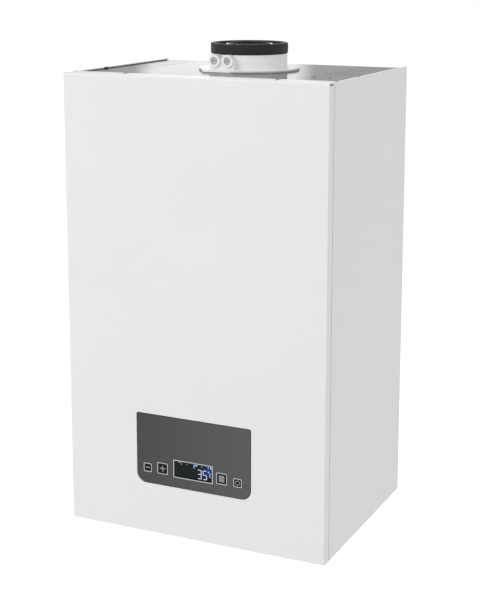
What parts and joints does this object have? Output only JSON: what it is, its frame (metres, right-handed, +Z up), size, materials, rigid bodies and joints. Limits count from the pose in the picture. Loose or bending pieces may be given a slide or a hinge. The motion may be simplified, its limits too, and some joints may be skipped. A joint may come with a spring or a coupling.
{
  "type": "combi boiler",
  "caption": "Wall-hung combi boiler in a white steel casing, with a concentric flue adapter on top, a grey control panel with display and keys, and pipe ends below.",
  "frame": {"origin": "on the wall, at the middle of the wall bracket's back face, 590 mm above the casing's bottom edge", "axes": "+Z up, +Y into the wall, -Y out of the front cover, +X to the right seen from the front"},
  "size_m": [0.39, 0.3007, 0.706],
  "materials": {
    "casing_white": "smooth satin white powder coat",
    "galvanised_steel": "bright rolled galvanised sheet",
    "flue_white_plastic": "satin moulded plastic",
    "seal_rubber": "matt black seal rubber",
    "cap_grey_plastic": "matt moulded plastic",
    "fascia_grey": "fine-grained satin dark grey panel",
    "key_black": "black cap with a pale printed frame and sign",
    "display_glass": "dark clear window with pale border",
    "black_plastic": "matt black moulded plastic",
    "circuit_green": "solder-masked circuit board",
    "vessel_red": "satin red enamel",
    "stainless_steel": "satin stainless steel",
    "cast_aluminium": "as-cast aluminium",
    "electrode_ceramic": "white technical ceramic",
    "copper_pipe": "drawn copper",
    "valve_brass": "turned and cast brass",
    "pump_iron": "dark coated cast iron",
    "grey_plastic": "grey moulded plastic",
    "red_plastic": "red moulded knob",
    "blue_plastic": "blue moulded knob"
  },
  "bodies": {
    "casing": {"wall_bracket": "galvanised_steel", "back_frame": "galvanised_steel", "left_side_panel": "casing_white", "right_side_panel": "casing_white", "top_panel": "galvanised_steel", "bottom_tray": "galvanised_steel", "control_fascia": "fascia_grey", "key_mat": "seal_rubber", "display_window": "display_glass", "display_module": "black_plastic", "control_box_housing": "black_plastic", "control_box_lid": "black_plastic", "main_circuit_board": "circuit_green", "flue_adapter": "flue_white_plastic", "outer_flue_seal": "seal_rubber", "inner_flue_tube": "flue_white_plastic", "inner_flue_seal": "seal_rubber", "expansion_vessel": "vessel_red", "vessel_hose": "seal_rubber", "heat_exchanger_carrier": "galvanised_steel", "heat_exchanger_shell": "stainless_steel", "heat_exchanger_coil": "stainless_steel", "burner_door_gasket": "seal_rubber", "burner_door": "cast_aluminium", "burner_tube": "stainless_steel", "ignition_electrode": "electrode_ceramic", "mixing_manifold": "cast_aluminium", "fan_housing": "cast_aluminium", "fan_motor": "black_plastic", "gas_air_mixer": "cast_aluminium", "air_silencer": "black_plastic", "gas_valve": "cast_aluminium", "gas_pipe": "copper_pipe", "flow_block": "valve_brass", "return_block": "valve_brass", "plate_heat_exchanger": "stainless_steel", "pump_body": "pump_iron", "pump_motor": "grey_plastic", "return_pipe": "copper_pipe", "flow_pipe": "copper_pipe", "diverter_motor": "black_plastic", "safety_valve": "valve_brass", "pressure_sensor": "valve_brass", "air_vent": "valve_brass", "condensate_trap": "grey_plastic", "condensate_hose": "grey_plastic", "mains_cable_gland": "black_plastic"},
    "front_cover": {"front_cover": "casing_white"},
    "key_minus": {"key_minus": "key_black"},
    "key_plus": {"key_plus": "key_black"},
    "key_menu": {"key_menu": "key_black"},
    "key_power": {"key_power": "key_black"},
    "port_cap_left": {"port_cap_left": "cap_grey_plastic"},
    "port_cap_right": {"port_cap_right": "cap_grey_plastic"},
    "fan_impeller": {"fan_impeller": "black_plastic"},
    "pump_rotor": {"pump_rotor": "stainless_steel"},
    "diverter_plunger": {"diverter_plunger": "valve_brass"},
    "safety_valve_knob": {"safety_valve_knob": "red_plastic"},
    "filling_valve": {"filling_valve": "blue_plastic"}
  },
  "joints": [
    {"name": "front_cover_pull", "type": "slide", "parent": "casing", "child": "front_cover", "axis": [0, -1, 0], "range_m": [0, 0.3]},
    {"name": "key_minus_press", "type": "slide", "parent": "casing", "child": "key_minus", "axis": [0, 1, 0], "range_m": [0, 0.001], "stiffness_N_per_m": 1500},
    {"name": "key_plus_press", "type": "slide", "parent": "casing", "child": "key_plus", "axis": [0, 1, 0], "range_m": [0, 0.001], "stiffness_N_per_m": 1500},
    {"name": "key_menu_press", "type": "slide", "parent": "casing", "child": "key_menu", "axis": [0, 1, 0], "range_m": [0, 0.001], "stiffness_N_per_m": 1500},
    {"name": "key_power_press", "type": "slide", "parent": "casing", "child": "key_power", "axis": [0, 1, 0], "range_m": [0, 0.001], "stiffness_N_per_m": 1500},
    {"name": "port_cap_left_pull", "type": "slide", "parent": "casing", "child": "port_cap_left", "axis": [0, -1, 0], "range_m": [0, 0.02]},
    {"name": "port_cap_right_pull", "type": "slide", "parent": "casing", "child": "port_cap_right", "axis": [0, -1, 0], "range_m": [0, 0.02]},
    {"name": "fan_impeller_spin", "type": "hinge", "parent": "casing", "child": "fan_impeller", "pos_m": [0.102, -0.25, -0.19], "axis": [0, 1, 0], "continuous": true},
    {"name": "pump_rotor_spin", "type": "hinge", "parent": "casing", "child": "pump_rotor", "pos_m": [0.132, -0.15, -0.465], "axis": [0, 1, 0], "continuous": true},
    {"name": "diverter_plunger_lift", "type": "slide", "parent": "casing", "child": "diverter_plunger", "axis": [0, 0, 1], "range_m": [0, 0.008]},
    {"name": "safety_valve_turn", "type": "hinge", "parent": "casing", "child": "safety_valve_knob", "pos_m": [0.145, -0.18, -0.53], "axis": [0, -1, 0], "range_deg": [0, 90]},
    {"name": "filling_valve_turn", "type": "hinge", "parent": "casing", "child": "filling_valve", "pos_m": [0.098, -0.11, -0.59], "axis": [0, 0, 1], "range_deg": [0, 90]}
  ]
}
